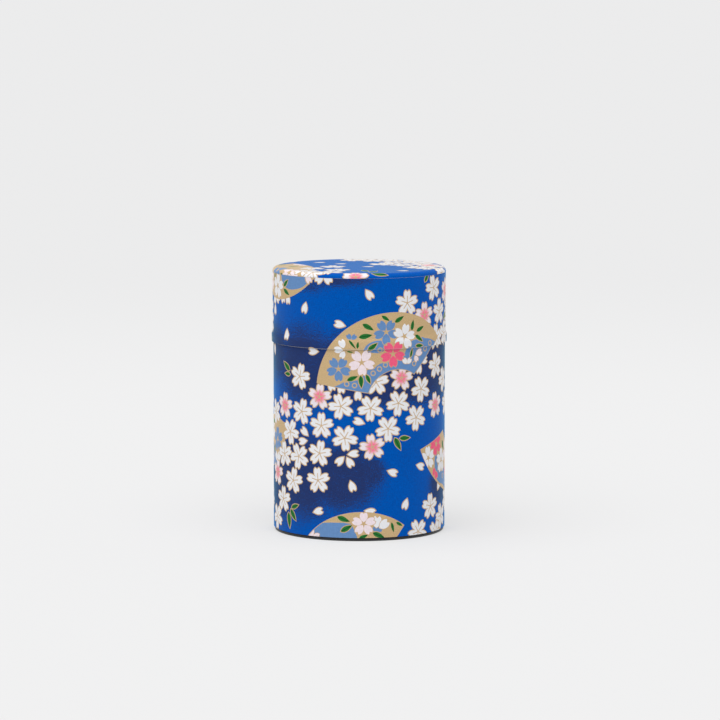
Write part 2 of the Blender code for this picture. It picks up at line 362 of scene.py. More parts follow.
def right_fan(sheet, at):
    """A hanging fan at the right side; its content is given from its left corner."""
    hub = (at[0] + 31.6, at[1] + 12.7)
    fan = sheet.fan(hub, 34.2, 202, 330, hub, 12.7, 211, 330)
    lake = [(10.4, -2.8), (12.6, -2.6), (13.2, -6), (13, -9), (16, -11.5), (20, -12), (26, -10), (36, -14)]
    lake += [(46, -20), (40, -26), (28, -22), (20, -17.5), (14, -16.5), (10.8, -12), (10.2, -8.6)]
    sheet.cloud(moved(at, lake), fan)
    rings(sheet, at, [(20, -14), (26, -14), (32, -17), (36, -20), (30, -19)], fan)
    hearts(sheet, at, [
        (5, -4.3, 24, "white", 5.3, 5), (17.7, -6.8, 18, "white", 5.6, 5), (11.8, 1.2, 38, "rose", 5.2, 5),
        (27, -3, 60, "shell", 5.6, 5), (38, -5, 20, "lavender", 5.4, 5), (30, -12, 44, "rose", 5.4, 5),
        (9.6, -8.6, 275, "rose", 4.2, 1), (10.4, -10.4, 300, "rose", 4.4, 1), (46, -10, 66, "white", 5.4, 5),
    ], fan)
    leaves(sheet, at, [(20.6, -0.6, -58, 5.8), (34, -12, 20, 5), (42, -14, -50, 5), (52, -4, 30, 4.6)], fan)


def left_fan(sheet, at):
    """A fan at the left side; its content is given from its right corner."""
    hub = (at[0] - 15.4, at[1] - 30.3)
    fan = sheet.fan(hub, 34, 63, 190, hub, 12, 63, 190)
    lake = [(-12, -14), (-18, -9), (-26, -5), (-30, -10), (-38, -14), (-44, -34), (-20, -34), (-12, -22)]
    sheet.cloud(moved(at, lake), fan)
    rings(sheet, at, [(-17, -14), (-22, -12), (-28, -14), (-33, -18), (-36, -24)], fan)
    hearts(sheet, at, [
        (-10.5, -6.4, 22, "lavender", 5.6, 5), (-10.4, -16.5, 60, "white", 5.2, 2),
        (-21, -3, 50, "white", 5.6, 5), (-30, -6, 10, "rose", 5.6, 5), (-24, -14, 30, "shell", 5.6, 5),
        (-38, -13, 54, "white", 5.4, 5),
    ], fan)
    leaves(sheet, at, [(-17, 1, 20, 5), (-26, 0, -30, 5), (-35, -7, 60, 5), (-15.8, -11, 70, 5)], fan)


def top_fan(sheet, at):
    """The fan that hangs from the lid's upper edge, given from its hub."""
    fan = sheet.fan(at, 33.3, 240, 320, at, 11, 240, 320)
    lake = [(22.6, -23.5), (19.7, -26.2), (16.9, -27.6), (13.8, -28.3), (10.4, -28.6), (7.4, -28.1)]
    lake += [(4.9, -26.4), (3.2, -24), (2.8, -14), (26, -14)]
    sheet.cloud(moved(at, lake), fan, rounding=2)
    leaves(sheet, at, [(7.2, -26.0, 42, 4.6)], fan, True)
    leaves(sheet, at, [(7.7, -29.9, -28, 5.0), (-4.7, -24, 80, 5), (0.4, -22.8, 80, 5)], fan)
    hearts(sheet, at, [(-0.6, -27.8, 10, "white", 5.5, 5), (-12, -26, 40, "shell", 5.6, 5)], fan)
    sheet.loose_petal(at[0] + 21.3, at[1] - 22.9, 300, "shell")


# Where the motifs lie, in millimetres and degrees: u, v, turn
WHITE_BLOSSOMS = [
    (21.9, 103.8, 18), (38.4, 109.4, 33), (43.9, 98.6, 18), (-28.5, 71.2, 5), (-27.3, 55.9, 4),
    (-8, 59.2, 38), (5, 58.4, 50), (17.7, 60.2, 48), (30.1, 65.6, 47), (27.1, 53.2, 48),
    (-17, 50.4, 18), (12.8, 49.2, 55), (-6.3, 45.4, 60), (-34.8, 46.3, 62), (-17.9, 38.2, 9),
    (-29.2, 36, 44), (-39.4, 36, 26), (-18.7, 26.3, 23), (-32.7, 25, 9), (-40.6, 15.9, 16),
    (36.7, 13.1, 20), (47.2, 7.4, 36), (28.4, 2.7, 48), (41.2, 0.9, 62), (41, 75, 27),
    (50.2, 68, 40), (40.6, 87.6, 20), (50, 88.3, 9), (-15.8, 117.3, 18), (55, 57, 22),
    (-47.5, 7.2, 50), (-58, 93, 30), (57, 100, 5), (-52, 112, 66), (56, 14, 60),
    (-49.3, 53.6, 40), (-48, 106.5, 30), (7.4, 69.8, 15),
]
PINK_BLOSSOMS = [
    (31.9, 97.9, 20), (52.5, 107, 3), (-18, 63, 12), (-39, 57.5, 12), (19.3, 71.2, 10), (40.8, 57.5, 27),
    (5.8, 41.4, 30), (-47, 27, 10),
]
LOOSE_PETALS = [
    (-25.2, 101.6, 255), (4.2, 108.1, 305), (-8.3, 94.9, 165), (-36.7, 89.1, 266), (-20.8, 82.7, 180),
    (0, 52.6, 160), (-25.6, 47, 140), (-26.6, 42.9, 190), (-2.7, 38.5, 8), (-8.3, 35.5, 225),
    (-4.2, 34.9, 300), (14.8, 30, 340), (29.6, 31.6, 342), (-3.1, 24.4, 288), (21.4, 15.7, 250),
    (-18.8, 12.6, 15), (4.7, 13.1, 350), (31.6, 78, 5), (28.9, 74.8, 262), (-49.1, 99, 265),
    (-12.4, 68.2, 290), (-7.9, 67.3, 275), (-0.5, 64.4, 270), (-36, 104.8, 275), (-40.2, 105, 285),
    (-56, 100, 40), (49, 29, 200), (57, 34, 120), (-58, 12, 330), (-51.5, 81, 105), (44.4, 21.4, 60),
]
# Blossoms that lie over the fans as well as beside them
WHITE_OVER_FANS = [(-34.8, 46.3, 62), (-39.4, 36, 26), (-49.3, 53.6, 40)]
PINK_OVER_FANS = [(-47, 27, 10)]
# Leaves, with their length
LEAVES = [
    (-37.5, 75, 144, 6), (-36.9, 71.6, 178, 4.2), (21, 44.7, -1, 5.2), (17.4, 42.3, -62, 6.2),
    (-31.7, 13.6, 20, 5), (-32.9, 9.6, -52, 6), (-35.8, 6.9, -82, 7), (33.2, 114.2, 56, 4.4),
    (52, 96, 30, 5), (55, 93, -40, 5), (-56, 84, 60, 5),
]
# Middles of the dark clouds, their half-widths and how dense they are: u, v, across, up, density
DARK_CLOUDS = [
    # The first cloud is real print, but its density is lowered to 0.88 as painted light, lightening the
    # night blue where the tin's left edge catches more light.
    (-50, 80.5, 22, 12.5, 0.88), (-26, 76, 18, 17, 1), (-5, 75, 18, 16, 1), (10, 68, 18, 9, 1),
    (28, 69, 16, 10, 1), (44, 75, 17, 15, 1), (-9, 115.5, 16, 4.5, 0.85), (-23, 112.5, 9, 4.5, 0.6),
    (-7, 28.5, 16, 15, 1), (-27, 28, 18, 19, 1), (-45, 27, 19, 20, 1), (4, 30, 8, 7, 0.9),
    (47, 22, 11, 9, 1), (58, 24, 10, 9, 1),
]


def scatter(sheet, shift, whites, pinks, petals=(), leaves_on_ground=(), breadth=1.0):
    """Blossoms, loose petals and leaves on the ground, moved round the tin by a shift."""
    for u, v, turn in whites:
        sheet.blossom(u + shift, v, turn)
    for u, v, turn in pinks:
        sheet.blossom(u + shift, v, turn, "blush")
    for u, v, turn in petals:
        sheet.loose_petal(u + shift, v, turn)
    for u, v, turn, length in leaves_on_ground:
        sheet.leaf(u + shift, v, turn, length, breadth=breadth)


def side_print():
    """The design of the paper round the body and the lid."""
    sheet = Print()
    for shift in SHIFTS:
        scatter(sheet, shift, WHITE_BLOSSOMS, PINK_BLOSSOMS, LOOSE_PETALS, LEAVES)
    left_fan(sheet, (-36.4, 48))
    right_fan(sheet, (30.1, 38.9))
    for shift in SHIFTS:
        main_fan(sheet, (16.5 + shift, 65))
        low_fan(sheet, (shift, 0))
        top_fan(sheet, (-44.8 + shift, 137.4))
    scatter(sheet, 0.0, WHITE_OVER_FANS, PINK_OVER_FANS)
    return sheet


# Where the motifs lie on the lid's disc: x to the right, y to the back, turn
TOP_WHITE_BLOSSOMS = [
    (-22.8, -25.2, 38), (-20, -31, 50), (-20.8, -12, 50), (-12.5, -29.5, 34), (-9.6, -19, 10),
    (-11.6, -2.7, 20), (9.8, 9.5, 5), (19, 5.5, 44), (24.8, -5.5, 25), (30, -11, 50), (37.4, -12.5, 20),
    (33, -1, 30), (28, 9, 52), (14.5, 16, 40), (23, 17, 10), (-3, 31, 50), (6, 28, 20), (15, 27, 12),
    (23, 26, 33), (31, 18, 5), (12, 35, 8), (3, 36, 30),
]
TOP_PINK_BLOSSOMS = [(-1.5, -38.8, 20), (31, 4, 40)]
TOP_LOOSE_PETALS = [
    (3.8, -2.8, 10), (18.9, -22.8, 350), (-8.4, 11.6, 5), (-17.8, 18.6, 10), (-30, 22, 220),
]
TOP_LEAVES = [(2.6, -24, -75, 8), (6.3, -27, 66, 8), (9, -36.2, 2, 7)]
TOP_CLOUDS = [(-23, -29, 5, 5, 1)]


def top_print():
    """The design of the paper disc on the lid."""
    sheet = Print()
    at = (-58, -12)
    fan = sheet.fan(at, 38, -60, 41, at, 12, -60, 41)
    leaves(sheet, at, [(25.7, 1, 10, 5), (29.1, 10.1, 5, 5), (24, 18, 30, 5), (22.6, -8, 80, 6)], fan)
    hearts(sheet, at, [
        (27.4, -10.5, 20, "shell", 6.4, 5), (34.5, 20, 180, "shell", 6, 2), (22.2, 0, 36, "lavender", 5, 5),
    ], fan)
    scatter(sheet, 0.0, TOP_WHITE_BLOSSOMS, TOP_PINK_BLOSSOMS, TOP_LOOSE_PETALS, TOP_LEAVES, 0.8)
    return sheet


def all_clouds():
    """The dark clouds of every repeat of the design."""
    return [(u + shift, *cloud) for shift in SHIFTS for u, *cloud in DARK_CLOUDS]


def darkness(points, clouds):
    """How dark the ground's clouds make each point: full to 0.6 of their reach, none from 1.4."""
    result = np.zeros(len(points))
    for u, v, across, up, density in clouds:
        reach = np.hypot((points[:, 0] - u) / across, (points[:, 1] - v) / up)
        result = np.maximum(result, density * np.clip((1.4 - reach) / 0.8, 0.0, 1.0))
    return result


# ---- Cutting and wrapping ----


def cut(sheet, border, lines):
    """Triangles of a bordered sheet, cut along every outline and guide line, and each one's shape."""
    low, high = border.min(axis=0), border.max(axis=0)
    shapes = []
    for shape in sheet.shapes:
        if np.all(shape.points.max(axis=0) > low) and np.all(shape.points.min(axis=0) < high):
            shapes.append(shape)
    coords = [Vector(p) for p in border]
    edges = [(i, (i + 1) % len(border)) for i in range(len(border))]
    for shape in shapes:
        first, count = len(coords), len(shape.points)
        coords += [Vector(p) for p in shape.points]
        edges += [(first + i, first + (i + 1) % count) for i in range(count)]
    for line in lines:
        first = len(coords)
        coords += [Vector(p) for p in line]
        edges += [(first + i, first + i + 1) for i in range(len(line) - 1)]
    verts, _, faces, _, _, _ = delaunay_2d_cdt(coords, edges, [], 0, 1e-5, False)
    verts = np.array([tuple(v) for v in verts])
    faces = np.array(faces)
    corners = verts[faces]
    area = np.cross(corners[:, 1] - corners[:, 0], corners[:, 2] - corners[:, 0])
    middles = corners.mean(axis=1)
    keep = inside(middles, border) & (np.abs(area) > 1e-9)
    faces, middles, area = faces[keep], middles[keep], area[keep]
    faces[area < 0] = faces[area < 0][:, ::-1]
    order = np.argsort(middles[:, 0])
    sorted_x = middles[order, 0]
    top = np.full(len(faces), -1)
    for i, shape in enumerate(shapes):
        across = shape.points[:, 0]
        first, last = np.searchsorted(sorted_x, (across.min(), across.max()))
        near = order[first:last]
        hit = near[inside(middles[near], shape.points)]
        if shape.within is not None:
            hit = hit[inside(middles[hit], shape.within)]
        top[hit] = i
    used, index = np.unique(faces, return_inverse=True)
    return verts[used], index.reshape(-1, 3), top, shapes


def added(name, data):
    """A new object in the scene."""
    made = bpy.data.objects.new(name, data)
    bpy.context.scene.collection.objects.link(made)
    return made


def motif_places(flat, faces, top, shapes):
    """Where each face's corners lie in the axes of the face's own motif, in lengths of that motif."""
    ats = np.array([shape.at for shape in shapes] + [(0.0, 0.0)])
    turns = np.radians([shape.turn for shape in shapes] + [0.0])
    sizes = np.array([shape.size for shape in shapes] + [1.0])
    offset = flat[faces] - ats[top][:, None, :]
    x, y = offset[..., 0], offset[..., 1]
    c, s = np.cos(turns[top])[:, None], np.sin(turns[top])[:, None]
    scale = sizes[top][:, None]
    places = np.stack(((x * c + y * s) / scale, (y * c - x * s) / scale, np.zeros_like(x)), axis=-1)
    return places.reshape(-1, 3)


def add_attribute(mesh, name, kind, domain, values):
    """Stores a number or a vector for each point or face corner of a mesh."""
    attribute = mesh.attributes.new(name, kind, domain)
    key = "value" if kind == "FLOAT" else "vector"
    attribute.data.foreach_set(key, values.astype(np.float32).ravel())


def wrapped(name, sheet, border, lines, wrap, clouds, finish="side"):
    """A printed sheet wrapped into place: its face, and its cut edges as deep as the paper."""
    flat, faces, top, shapes = cut(sheet, border, lines)
    places, normals = wrap(flat)
    edges = set()
    for a, b, c in faces.tolist():
        edges.update(((a, b), (b, c), (c, a)))
    rim = sorted(edge for edge in edges if edge[::-1] not in edges)
    rim_verts = sorted({v for edge in rim for v in edge})
    inner_of = {v: len(flat) + i for i, v in enumerate(rim_verts)}
    inner = places[rim_verts] - normals[rim_verts] * PAPER
    lips = [(b, a, inner_of[a], inner_of[b]) for a, b in rim]
    mesh = bpy.data.meshes.new(name)
    mesh.from_pydata((np.concatenate((places, inner)) * MM).tolist(), [], faces.tolist() + lips)

    face_inks = [INKS.index(shapes[i].ink) if i >= 0 else INKS.index("ground") for i in top]
    inks = np.array(face_inks + [INKS.index("core")] * len(lips))
    mesh.polygons.foreach_set("material_index", inks.astype(np.int32))
    for ink in INKS:
        mesh.materials.append(washi_ink(ink, finish))

    all_flat = np.concatenate((flat, flat[rim_verts]))
    motifs = np.concatenate((motif_places(flat, faces, top, shapes), np.zeros((len(lips) * 4, 3))))
    add_attribute(mesh, "sheet_place", "FLOAT_VECTOR", "POINT", np.pad(all_flat, ((0, 0), (0, 1))))
    add_attribute(mesh, "dark", "FLOAT", "POINT", darkness(all_flat, clouds))
    add_attribute(mesh, "motif_place", "FLOAT_VECTOR", "CORNER", motifs)

    mesh.shade_smooth()
    mesh.update()
    loop_normals = normals[faces].reshape(-1, 3).tolist()
    for polygon in mesh.polygons[len(faces):]:
        loop_normals += [tuple(polygon.normal)] * 4
    mesh.normals_split_custom_set(loop_normals)
    return added(name, mesh)


def smoothstep(x):
    """0 below 0, 1 above 1 and a smooth rise between."""
    x = np.clip(x, 0.0, 1.0)
    return x * x * (3 - 2 * x)


def side_wrap(radius_at):
    """Wraps the unrolled paper round the axis, its start lapped over its far end at the back."""
    step = 0.05

    def wrap(flat):
        u, v = flat[:, 0], flat[:, 1]
        lap = 1 - smoothstep((u + CIRCUMFERENCE / 2 - OVERLAP) / OVERLAP_RAMP)
        radius = radius_at(v) + OVERLAP_STEP * lap
        slope = (radius_at(v + step) - radius_at(v - step)) / (2 * step)
        angle = u / BODY_R
        places = np.stack((radius * np.sin(angle), -radius * np.cos(angle), v), axis=1)
        lean = 1 / np.sqrt(1 + slope**2)
        normals = np.stack((np.sin(angle) * lean, -np.cos(angle) * lean, -slope * lean), axis=1)
        return places, normals

    return wrap


def lid_radius(v):
    """The lid's paper bulges over the folded hem and turns in at its lower edge."""
    v = np.asarray(v, float)
    start, end = HEM_RISE
    bulge = (HEM_R - LID_R) * (1 - smoothstep((v - LID_LOW - start) / (end - start)))
    edge = HEM_EDGE * (1 - smoothstep((v - LID_LOW) / HEM_EDGE_HEIGHT))
    return LID_R + bulge - edge


def top_wrap(flat):
    """Lays the disc on the lid and turns its rim down over the round shoulder."""
    reach = np.hypot(flat[:, 0], flat[:, 1])
    direction = flat / np.maximum(reach, 1e-9)[:, None]
    level = LID_R - SHOULDER
    bend = np.clip((reach - level) / SHOULDER, 0.0, math.pi / 2)
    radius = np.where(reach < level, reach, level + SHOULDER * np.sin(bend))
    height = TOP_HIGH - SHOULDER * (1 - np.cos(bend))
    places = np.stack((radius * direction[:, 0], radius * direction[:, 1], height), axis=1)
    out = np.sin(bend)
    normals = np.stack((out * direction[:, 0], out * direction[:, 1], np.cos(bend)), axis=1)
    return places, normals


def side_lines(low, high, levels):
    """Guide lines: uprights that round the cylinder, and levels that follow its profile."""
    ends = CIRCUMFERENCE / 2
    uprights = [((u, low), (u, high)) for u in np.linspace(-ends, ends, STRIPS + 1)[1:-1]]
    return uprights + [((-ends, v), (ends, v)) for v in levels]


def make_body_paper():
    """The printed paper round the body, from the base's rim to just inside the lid."""
    ends = CIRCUMFERENCE / 2
    top = BODY_HIGH + TUCK
    border = np.array(((-ends, BODY_LOW), (ends, BODY_LOW), (ends, top), (-ends, top)))
    levels = np.arange(BODY_LOW + LEVEL_STEP, BODY_HIGH - 1, LEVEL_STEP)
    lines = side_lines(BODY_LOW, BODY_HIGH, levels)
    wrap = side_wrap(lambda v: np.full(len(v), BODY_R))
    paper = wrapped("washi_body", side_print(), border, lines, wrap, all_clouds())
    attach(paper, "body")
    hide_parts("body_paper")


def make_lid_side_paper():
    """The printed strip round the lid, divided finely over the hem's bulge."""
    ends = CIRCUMFERENCE / 2
    border = np.array(((-ends, LID_LOW), (ends, LID_LOW), (ends, LID_HIGH), (-ends, LID_HIGH)))
    over_hem = np.arange(LID_LOW + 0.2, LID_LOW + 6, 0.4)
    above_hem = np.arange(LID_LOW + 8, LID_HIGH - 1, LEVEL_STEP)
    lines = side_lines(LID_LOW, LID_HIGH, np.concatenate((over_hem, above_hem)))
    paper = wrapped("washi_lid_side", side_print(), border, lines, side_wrap(lid_radius), all_clouds())
    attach(paper, "lid")
    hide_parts("lid_side_paper")


def make_lid_top_paper():
    """The printed disc on the lid, divided finely over the shoulder."""
    level = LID_R - SHOULDER
    turned_down = SHOULDER * math.pi / 2
    border = ring_points((0, 0), level + turned_down, METAL_FACETS)
    steps, spacing = 8, 6.0
    radii = [level + turned_down * i / steps for i in range(steps)]
    radii += list(np.arange(spacing, level, spacing))
    circles = [ring_points((0, 0), radius, METAL_FACETS) for radius in radii]
    lines = [np.concatenate((circle, circle[:1])) for circle in circles]
    # The disc takes the top's sheen, painted light that brightens it as if lit more from above.
    paper = wrapped("washi_lid_top", top_print(), border, lines, top_wrap, TOP_CLOUDS, "top")
    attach(paper, "lid")
    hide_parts("lid_top_paper")


# ---- Materials ----


def linear(red, green, blue):
    """A colour in linear light, from its red, green and blue between 0 and 255."""
    channels = [c / 255 for c in (red, green, blue)]
    return tuple(c / 12.92 if c <= 0.04045 else ((c + 0.055) / 1.055) ** 2.4 for c in channels) + (1.0,)


class Nodes:
    """Short ways to add and link shader nodes in one material."""

    def __init__(self, name):
        self.material = bpy.data.materials.new(name)
        self.material.use_nodes = True
        self.tree = self.material.node_tree
        self.shader = self.tree.nodes["Principled BSDF"]

    def link(self, value, socket):
        if isinstance(value, bpy.types.NodeSocket):
            self.tree.links.new(value, socket)
        elif value is not None:
            socket.default_value = value

    def attribute(self, name, output="Vector"):
        node = self.tree.nodes.new("ShaderNodeAttribute")
        node.attribute_name = name
        return node.outputs[output]

    def object_place(self):
        return self.tree.nodes.new("ShaderNodeTexCoord").outputs["Object"]

    def noise(self, vector, scale, detail=2.0, roughness=0.5):
        """Noise with a scale of its own along each axis."""
        mapping = self.tree.nodes.new("ShaderNodeMapping")
        self.link(vector, mapping.inputs["Vector"])
        mapping.inputs["Scale"].default_value = scale
        node = self.tree.nodes.new("ShaderNodeTexNoise")
        self.link(mapping.outputs["Vector"], node.inputs["Vector"])
        node.inputs["Scale"].default_value = 1.0
        node.inputs["Detail"].default_value = detail
        node.inputs["Roughness"].default_value = roughness
        return node.outputs["Fac"]

    def math(self, operation, first, second=None, third=None):
        node = self.tree.nodes.new("ShaderNodeMath")
        node.operation = operation
        for value, socket in zip((first, second, third), node.inputs):
            self.link(value, socket)
        return node.outputs["Value"]

    def remap(self, value, low, high, to_low=0.0, to_high=1.0, smooth=False):
        node = self.tree.nodes.new("ShaderNodeMapRange")
        node.interpolation_type = "SMOOTHSTEP" if smooth else "LINEAR"
        self.link(value, node.inputs["Value"])
        for name, number in zip(("From Min", "From Max", "To Min", "To Max"), (low, high, to_low, to_high)):
            node.inputs[name].default_value = number
        return node.outputs["Result"]

    def mix(self, factor, first, second):
        node = self.tree.nodes.new("ShaderNodeMix")
        node.data_type = "RGBA"
        self.link(factor, node.inputs["Factor"])
        self.link(first, node.inputs["A"])
        self.link(second, node.inputs["B"])
        return node.outputs["Result"]

    def tint(self, colour, factor):
        """A colour made lighter or darker by a number round 1."""
        node = self.tree.nodes.new("ShaderNodeVectorMath")
        node.operation = "SCALE"
        node.inputs[0].default_value = colour[:3]
        self.link(factor, node.inputs["Scale"])
        return node.outputs["Vector"]

    def length(self, vector):
        node = self.tree.nodes.new("ShaderNodeVectorMath")
        node.operation = "LENGTH"
        self.link(vector, node.inputs[0])
        return node.outputs["Value"]

    def y_of(self, vector):
        node = self.tree.nodes.new("ShaderNodeSeparateXYZ")
        self.link(vector, node.inputs["Vector"])
        return node.outputs["Y"]

    def bump(self, height, strength, distance):
        node = self.tree.nodes.new("ShaderNodeBump")
        node.inputs["Strength"].default_value = strength
        node.inputs["Distance"].default_value = distance
        self.link(height, node.inputs["Height"])
        self.feed("Normal", node.outputs["Normal"])

    def feed(self, name, value):
        """Sets one of the shader's sockets, or links it if the value comes from a node."""
        self.link(value, self.shader.inputs[name])


INK_COLOURS = {
    "ground": linear(0, 82, 173),
    "white": linear(228, 228, 230),
    "blush": linear(231, 221, 226),
    "rose": linear(234, 94, 128),
    "shell": linear(233, 218, 223),
    "lavender": linear(101, 138, 186),
    "green": linear(46, 114, 54),
    "line": linear(196, 166, 126),
    "stroke": linear(198, 171, 138),
    "tan": linear(196, 168, 126),
    "core": linear(130, 165, 205),
}
NIGHT = linear(38, 53, 100)
ROSE_HEART = linear(238, 104, 138)
LEAF_VEIN = linear(12, 66, 34)
SHADE = linear(205, 214, 236)
INKS = list(INK_COLOURS)

# The papers' sheen: its weight, then how pale its tint is at least and how it follows the ink. The top's
# heavier, paler sheen is painted light, brightening the lid's top as if more light fell on it from above.
SHEENS_WITH_PAINTED_TOP_LIGHT = {"side": (0.45, 0.2, 0.25), "top": (0.6, 0.34, 0.3)}


def washi_ink(ink, finish):
    """One printed ink on crinkled, fibrous paper, with the sheen of the side, or the top's stronger sheen
    that is painted light.
    """
    name = f"washi_{finish}_{ink}"
    found = bpy.data.materials.get(name)
    if found:
        return found
    nodes = Nodes(name)
    place = nodes.attribute("sheet_place")
    motif = nodes.attribute("motif_place")
    weave_u = nodes.noise(place, (2.4, 0.5, 1.0))
    weave_v = nodes.noise(place, (0.5, 2.4, 1.0))
    weave = nodes.math("ADD", weave_u, weave_v)
    fibres = nodes.noise(place, (0.35, 4.0, 1.0), 3.0, 0.6)
    height = nodes.math("MULTIPLY_ADD", fibres, 0.35, weave)
    colour = INK_COLOURS[ink]
    roughness = 0.62
    if ink == "ground":
        colour = ground_colour(nodes, place, weave)
    elif ink in ("blush", "white"):
        colour = petal_colour(nodes, place, motif, ink)
    elif ink == "green":
        colour = leaf_colour(nodes, place, motif)
    elif ink in ("tan", "line", "stroke"):
        grain = nodes.noise(place, (3.0, 2.2, 1.0), 2.0, 0.7)
        colour = nodes.tint(colour, nodes.remap(grain, 0.3, 0.7, 0.8, 1.2))
        roughness = 0.5
    else:
        colour = nodes.tint(colour, nodes.remap(weave, 0.7, 1.3, 0.92, 1.06))
    nodes.bump(height, 0.35, 0.00006)
    weight, pale, curve = SHEENS_WITH_PAINTED_TOP_LIGHT[finish]
    nodes.feed("Base Color", colour)
    nodes.feed("Roughness", roughness)
    nodes.feed("Specular IOR Level", 0.12)
    nodes.feed("Specular Tint", INK_COLOURS[ink])
    nodes.feed("Sheen Weight", weight)
    nodes.feed("Sheen Roughness", 0.3)
    nodes.feed("Sheen Tint", tuple(pale + (1 - pale) * c**curve for c in INK_COLOURS[ink]))
    return nodes.material


def ground_colour(nodes, place, weave):
    """Royal blue with night-blue clouds sprayed over it in fine dots."""
    mottle = nodes.noise(place, (2.6, 2.0, 1.0), 2.0, 0.6)
    threads = nodes.remap(weave, 0.7, 1.3, -0.1, 0.1)
    tone = nodes.math("ADD", threads, nodes.remap(mottle, 0.3, 0.7, 0.84, 1.16))
    blue = nodes.tint(INK_COLOURS["ground"], tone)
    night = nodes.tint(NIGHT, tone)
    dots = nodes.noise(place, (2.8, 1.8, 1.0), 1.0, 0.6)
    drift = nodes.noise(place, (0.12, 0.16, 1.0))
    dark = nodes.attribute("dark", "Fac")
    spread = nodes.math("MULTIPLY_ADD", drift, 0.5, -0.25)
    level = nodes.math("ADD", dark, spread)
    spray = nodes.math("MULTIPLY_ADD", dots, 2.6, -1.3)
    sprayed = nodes.math("ADD", level, spray)
    return nodes.mix(nodes.remap(sprayed, 0.22, 0.78, smooth=True), blue, night)


def petal_colour(nodes, place, motif, ink):
    """Opaque white with a faint cool shade, and on some blossoms a rose heart."""
    cloud = nodes.noise(place, (1.1, 1.1, 1.0))
    body = nodes.mix(nodes.remap(cloud, 0.5, 0.8, 0.0, 0.55), INK_COLOURS[ink], SHADE)
    if ink == "white":
        return body
    streaks = nodes.noise(motif, (0.6, 16.0, 1.0), 1.0)
    reach = nodes.math("MULTIPLY_ADD", streaks, -0.6, nodes.length(motif))
    return nodes.mix(nodes.remap(reach, -0.06, 0.36, 0.92, 0.0, smooth=True), body, ROSE_HEART)


def leaf_colour(nodes, place, motif):
    """Leaf green with a dark midrib and mottled sides."""
    from_middle = nodes.math("ABSOLUTE", nodes.y_of(motif))
    rib = nodes.remap(from_middle, 0.015, 0.06, 1.0, 0.0, smooth=True)
    mottle = nodes.noise(place, (2.0, 2.0, 1.0), 1.0)
    green = nodes.tint(INK_COLOURS["green"], nodes.remap(mottle, 0.3, 0.7, 0.75, 1.25))
    return nodes.mix(nodes.math("MULTIPLY", rib, 0.75), green, LEAF_VEIN)


def tinplate(name, roughness, brightness=0.8, streaks=1.0):
    """Bright rolled tinplate: fine lines round the piece and faint handling marks."""
    nodes = Nodes(name)
    place = nodes.object_place()
    lines = nodes.noise(place, (40.0, 40.0, 6000.0), 3.0)
    marks = nodes.noise(place, (90.0, 90.0, 90.0), 4.0, 0.6)
    tone = nodes.remap(nodes.math("ADD", lines, marks), 0.6, 1.4, 0.9, 1.05)
    grey = (brightness, brightness * 0.99, brightness * 0.965, 1.0)
    nodes.bump(lines, 0.12 * streaks, 0.00003)
    nodes.feed("Base Color", nodes.tint(grey, tone))
    nodes.feed("Roughness", nodes.remap(marks, 0.35, 0.7, roughness * 0.75, roughness * 1.35))
    nodes.feed("Metallic", 1.0)
    return nodes.material


def black_lacquer():
    """Satin black lacquer with dust in it and a rubbed edge."""
    nodes = Nodes("lacquer_black")
    place = nodes.object_place()
    peel = nodes.noise(place, (900.0, 900.0, 900.0))
    wear = nodes.noise(place, (260.0, 260.0, 500.0), 4.0, 0.7)
    rubbed = nodes.remap(wear, 0.62, 0.75, 0.0, 0.5)
    nodes.bump(peel, 0.15, 0.00004)
    nodes.feed("Base Color", nodes.mix(rubbed, linear(26, 26, 29), linear(70, 68, 67)))
    nodes.feed("Roughness", 0.42)
    return nodes.material


# ---- Turned pieces ----


def arc(centre_r, centre_z, radius, start, end, steps=6):
    """Points along an arc of a profile, its angles in degrees."""
    angles = [math.radians(start + (end - start) * i / steps) for i in range(steps + 1)]
    return [(centre_r + radius * math.cos(a), centre_z + radius * math.sin(a)) for a in angles]


def folded(path):
    """The closed outline of sheet metal that follows a path down its middle, perhaps from the axis."""
    points = np.array(path)
    ahead = np.diff(points, axis=0)
    ahead /= np.linalg.norm(ahead, axis=1)[:, None]
    sides = np.stack((-ahead[:, 1], ahead[:, 0]), axis=1)
    before = np.concatenate((sides[:1], sides))
    after = np.concatenate((sides, sides[-1:]))
    normal = before + after
    offset = normal * SHEET / np.sum(normal * normal, axis=1)[:, None]
    offset[points[:, 0] < 1e-6, 0] = 0.0
    return np.concatenate((points + offset, (points - offset)[::-1]))


def turned(name, outline, body, node, material, facets=METAL_FACETS, seam=0.0):
    """A closed profile turned about the axis; a seam raises a lapped strip down its back."""
    profile = np.array(outline)
    poles = profile[:, 0] < 1e-6
    angles = 2 * math.pi * np.arange(facets) / facets
    verts, rows = [], []
    for (r, z), pole in zip(profile, poles):
        if pole:
            rows.append([len(verts)] * facets)
            verts.append((0.0, 0.0, z * MM))
        else:
            rows.append(range(len(verts), len(verts) + facets))
            lift = seam * (np.abs(angles - math.pi / 2) * r < SEAM_WIDTH / 2)
            reach = (r + lift) * MM
            verts += zip(reach * np.cos(angles), reach * np.sin(angles), [z * MM] * facets)
    faces = []
    count = len(profile)
    for i in range(count):
        j = (i + 1) % count
        if poles[i] and poles[j]:
            continue
        for k in range(facets):
            n = (k + 1) % facets
            corners = [rows[i][k], rows[i][n], rows[j][n], rows[j][k]]
            faces.append([c for m, c in enumerate(corners) if c != corners[m - 1]])
    mesh = bpy.data.meshes.new(name)
    mesh.from_pydata(verts, [], faces)
    mesh.update()
    if doubled_area(profile) < 0:
        mesh.flip_normals()
    mesh.shade_smooth()
    mesh.set_sharp_from_angle(angle=math.radians(40))
    mesh.materials.append(material)
    made = added(name, mesh)
    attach(made, body)
    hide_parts(node)


